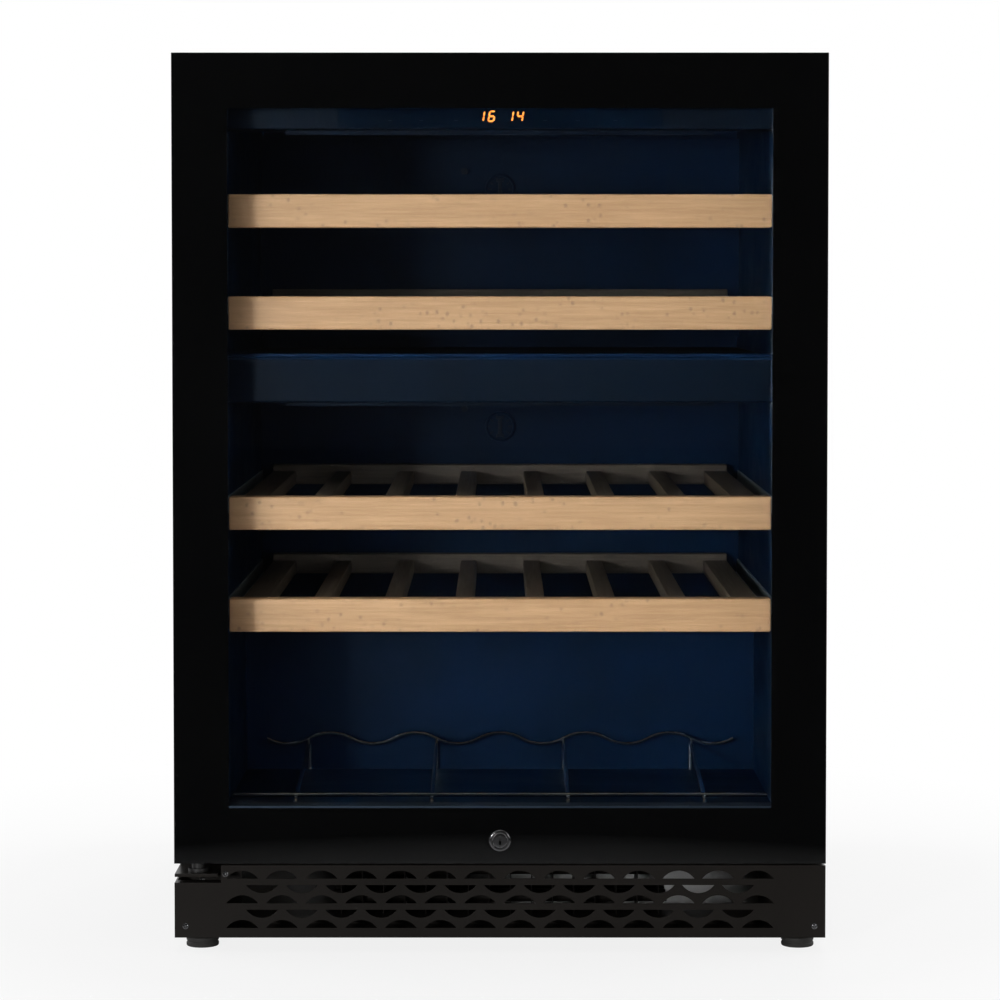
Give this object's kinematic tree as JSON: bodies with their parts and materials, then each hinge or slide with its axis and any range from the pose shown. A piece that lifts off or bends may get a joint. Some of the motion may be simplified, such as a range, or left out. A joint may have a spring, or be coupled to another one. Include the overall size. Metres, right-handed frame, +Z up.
{
  "type": "wine cooler",
  "caption": "Built-in two-zone wine cooler with a full-glass door, beech slatted shelves, a zone divider, a wire bottle rack and a perforated plinth grille",
  "frame": {"origin": "on the floor under the middle of the cooler's box", "axes": "+Z up, -Y out through the door, +X to the right seen from the front"},
  "size_m": [0.595, 0.5762, 0.82],
  "materials": {
    "black_steel": "fine textured black powder coat",
    "zinc_steel": "galvanised sheet",
    "foam": "rigid polyurethane foam",
    "liner": "moulded dark liner, satin",
    "black_plastic": "moulded black plastic",
    "gloss_black": "glossy black lens",
    "door_glass": "tinted toughened glass, black printed border",
    "inner_glass": "clear toughened glass",
    "gasket": "soft black vinyl",
    "beech": "untreated beech, fine sanded",
    "chrome": "bright chrome wire",
    "rubber": "black rubber",
    "aluminium": "rolled aluminium",
    "copper": "bare copper",
    "board": "green circuit board",
    "light": "opal light cover"
  },
  "bodies": {
    "cabinet": {"side_panel_left": "black_steel", "side_panel_right": "black_steel", "top_panel": "black_steel", "back_panel": "zinc_steel", "front_frame": "black_steel", "insulation_foam": "foam", "upper_liner": "liner", "lower_liner": "liner", "zone_divider": "foam", "base_tray": "zinc_steel", "rear_cover": "zinc_steel", "plinth_grille": "black_steel", "case_screws": "zinc_steel", "hinge_bracket_bottom": "black_steel", "hinge_bracket_top": "black_steel", "lock_keeper": "zinc_steel", "shelf_rails": "zinc_steel", "control_housing": "black_plastic", "display_lens": "gloss_black", "control_board": "board", "interior_lights": "light", "duct_covers": "liner", "evaporators": "aluminium", "circulation_fan_frames": "black_plastic", "filter_sockets": "black_plastic", "temperature_sensors": "black_plastic", "wire_rack": "chrome", "compressor": "black_steel", "compressor_mounts": "rubber", "condenser_fan_frame": "black_plastic", "condenser": "aluminium", "drip_tray": "black_plastic", "refrigerant_pipes": "copper", "power_inlet": "black_plastic"},
    "door": {"door_outer_glass": "door_glass", "glass_spacer": "aluminium", "door_inner_glass": "inner_glass", "door_frame": "black_plastic", "door_gasket": "gasket", "door_hinge_bushes": "black_plastic", "lock_housing": "black_plastic"},
    "lock": {"lock_barrel": "zinc_steel"},
    "shelf_1": {"shelf_1_fascia": "beech", "shelf_1_rack": "beech"},
    "shelf_2": {"shelf_2_fascia": "beech", "shelf_2_rack": "beech"},
    "shelf_3": {"shelf_3_fascia": "beech", "shelf_3_rack": "beech"},
    "shelf_4": {"shelf_4_fascia": "beech", "shelf_4_rack": "beech"},
    "fan_rotor_upper": {"fan_rotor_upper": "black_plastic"},
    "fan_rotor_lower": {"fan_rotor_lower": "black_plastic"},
    "condenser_fan_rotor": {"condenser_fan_rotor": "black_plastic"},
    "filter_cap_upper": {"filter_cap_upper": "black_plastic"},
    "filter_cap_lower": {"filter_cap_lower": "black_plastic"},
    "foot_front_left": {"foot_front_left": "black_plastic"},
    "foot_front_right": {"foot_front_right": "black_plastic"},
    "foot_rear_left": {"foot_rear_left": "black_plastic"},
    "foot_rear_right": {"foot_rear_right": "black_plastic"}
  },
  "joints": [
    {"name": "door_hinge", "type": "hinge", "parent": "cabinet", "child": "door", "pos_m": [-0.277, -0.27, 0.45], "axis": [0, 0, -1], "range_deg": [0, 100]},
    {"name": "lock_turn", "type": "hinge", "parent": "door", "child": "lock", "pos_m": [0, -0.27, 0.103], "axis": [0, 1, 0], "range_deg": [0, 90]},
    {"name": "shelf_1_slide", "type": "slide", "parent": "cabinet", "child": "shelf_1", "axis": [0, -1, 0], "range_m": [0, 0.018]},
    {"name": "shelf_2_slide", "type": "slide", "parent": "cabinet", "child": "shelf_2", "axis": [0, -1, 0], "range_m": [0, 0.018]},
    {"name": "shelf_3_slide", "type": "slide", "parent": "cabinet", "child": "shelf_3", "axis": [0, -1, 0], "range_m": [0, 0.018]},
    {"name": "shelf_4_slide", "type": "slide", "parent": "cabinet", "child": "shelf_4", "axis": [0, -1, 0], "range_m": [0, 0.018]},
    {"name": "fan_rotor_upper_spin", "type": "hinge", "parent": "cabinet", "child": "fan_rotor_upper", "pos_m": [0.15, 0.223, 0.66025], "axis": [0, 1, 0], "continuous": true},
    {"name": "fan_rotor_lower_spin", "type": "hinge", "parent": "cabinet", "child": "fan_rotor_lower", "pos_m": [0.15, 0.223, 0.383], "axis": [0, 1, 0], "continuous": true},
    {"name": "condenser_fan_rotor_spin", "type": "hinge", "parent": "cabinet", "child": "condenser_fan_rotor", "pos_m": [0.1, 0.071, 0.0755], "axis": [0, 1, 0], "continuous": true},
    {"name": "filter_cap_upper_twist", "type": "hinge", "parent": "cabinet", "child": "filter_cap_upper", "pos_m": [0, 0.207, 0.712], "axis": [0, 1, 0], "range_deg": [0, 45]},
    {"name": "filter_cap_lower_twist", "type": "hinge", "parent": "cabinet", "child": "filter_cap_lower", "pos_m": [0, 0.207, 0.459], "axis": [0, 1, 0], "range_deg": [0, 45]},
    {"name": "foot_front_left_screw", "type": "slide", "parent": "cabinet", "child": "foot_front_left", "axis": [0, 0, -1], "range_m": [0, 0.02]},
    {"name": "foot_front_right_screw", "type": "slide", "parent": "cabinet", "child": "foot_front_right", "axis": [0, 0, -1], "range_m": [0, 0.02]},
    {"name": "foot_rear_left_screw", "type": "slide", "parent": "cabinet", "child": "foot_rear_left", "axis": [0, 0, -1], "range_m": [0, 0.02]},
    {"name": "foot_rear_right_screw", "type": "slide", "parent": "cabinet", "child": "foot_rear_right", "axis": [0, 0, -1], "range_m": [0, 0.02]}
  ]
}
